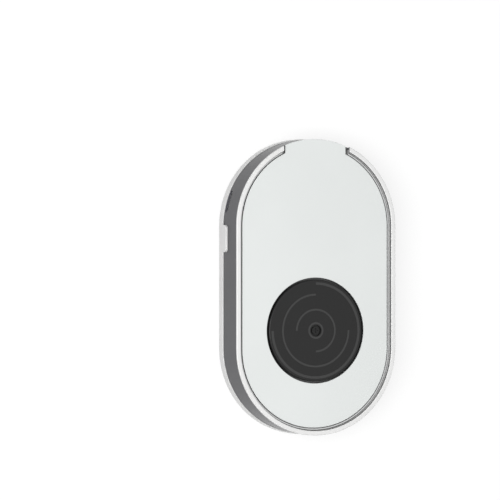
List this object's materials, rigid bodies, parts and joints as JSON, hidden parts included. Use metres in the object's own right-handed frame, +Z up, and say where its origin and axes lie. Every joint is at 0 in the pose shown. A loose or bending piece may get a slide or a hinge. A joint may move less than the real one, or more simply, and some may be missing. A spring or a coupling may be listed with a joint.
{
  "type": "mouse jiggler turntable",
  "caption": "Flat round-ended desk turntable that keeps a computer mouse moving: a slow motor-driven disc set in a rimmed panel, with a side power slide and a charging socket.",
  "frame": {"origin": "on the surface under the feet, midway along and across the base", "axes": "+X across the width, +Y along the length towards the open mouth of the rim, +Z up out of the face"},
  "size_m": [0.0761, 0.1284, 0.0204],
  "materials": {
    "gloss_white": "gloss moulded plastic, white",
    "gloss_gray": "high gloss moulded plastic, mid gray",
    "satin_panel": "satin sheet, pale gray-white",
    "disc_gray": "satin-gloss moulded plastic, dark gray",
    "track_gray": "matte inlay, gray",
    "black_steel": "blackened steel",
    "bright_steel": "bright ground steel",
    "zinc_steel": "bright zinc plating",
    "motor_steel": "drawn and plated sheet steel",
    "tin_plate": "bright tin plate",
    "oiled_bronze": "sintered, oil-soaked",
    "pinion_brass": "cut brass",
    "contact_gold": "gold flash",
    "copper_wire": "enamelled copper winding",
    "acetal": "natural acetal, low sheen",
    "nylon": "natural nylon",
    "magnet": "sintered ferrite magnet",
    "adhesive": "clear double-sided sheet",
    "board_green": "solder mask over glass fibre",
    "connector_ivory": "moulded nylon connector",
    "chip_black": "black moulding compound",
    "socket_black": "black liquid crystal polymer",
    "wire_cover": "soft PVC insulation",
    "capacitor_metal": "drawn aluminium can",
    "ceramic_chip": "fired chip parts",
    "foot_rubber": "matte silicone rubber"
  },
  "bodies": {
    "case": {"base_shell": "gloss_white", "side_band": "gloss_gray", "top_shell": "gloss_white", "raised_rim": "gloss_white", "face_panel": "satin_panel", "panel_adhesive": "adhesive", "spindle_bush": "oiled_bronze", "spindle_washer": "nylon", "idler_pin": "bright_steel", "motor_can": "motor_steel", "motor_plate": "motor_steel", "motor_stator": "copper_wire", "motor_terminal": "connector_ivory", "motor_screws": "zinc_steel", "motor_wires": "wire_cover", "wire_plug": "connector_ivory", "board_header": "connector_ivory", "circuit_board": "board_green", "board_screws": "zinc_steel", "usb_shell": "tin_plate", "usb_tongue": "socket_black", "usb_contacts": "contact_gold", "slide_switch_body": "tin_plate", "controller_chip": "chip_black", "driver_chip": "chip_black", "chip_leads": "tin_plate", "capacitor_can": "capacitor_metal", "capacitor_base": "socket_black", "board_passives": "ceramic_chip", "case_screws": "zinc_steel", "rubber_feet": "foot_rubber"},
    "turntable": {"turntable_disc": "disc_gray", "disc_tracks": "track_gray", "disc_screw": "black_steel", "turntable_spindle": "bright_steel", "turntable_gear": "acetal"},
    "idler": {"idler_gear": "acetal"},
    "rotor": {"motor_rotor": "magnet", "motor_shaft": "bright_steel", "motor_pinion": "pinion_brass"},
    "power_slider": {"switch_knob": "gloss_white", "switch_lever": "socket_black"}
  },
  "joints": [
    {"name": "turntable_spin", "type": "hinge", "parent": "case", "child": "turntable", "pos_m": [0, -0.01875, 0.019], "axis": [0, 0, 1], "continuous": true},
    {"name": "idler_spin", "type": "hinge", "parent": "case", "child": "idler", "pos_m": [0.00903, -0.00677, 0.0141], "axis": [0, 0, 1], "continuous": true},
    {"name": "motor_spin", "type": "hinge", "parent": "case", "child": "rotor", "pos_m": [0.01234, 0.00477, 0.0141], "axis": [0, 0, 1], "continuous": true},
    {"name": "power_slide", "type": "slide", "parent": "case", "child": "power_slider", "axis": [0, 1, 0], "range_m": [0, 0.004]}
  ],
  "couplings": [
    {"joint": "idler_spin", "follows": "turntable_spin", "ratio": -4},
    {"joint": "motor_spin", "follows": "turntable_spin", "ratio": 12}
  ]
}
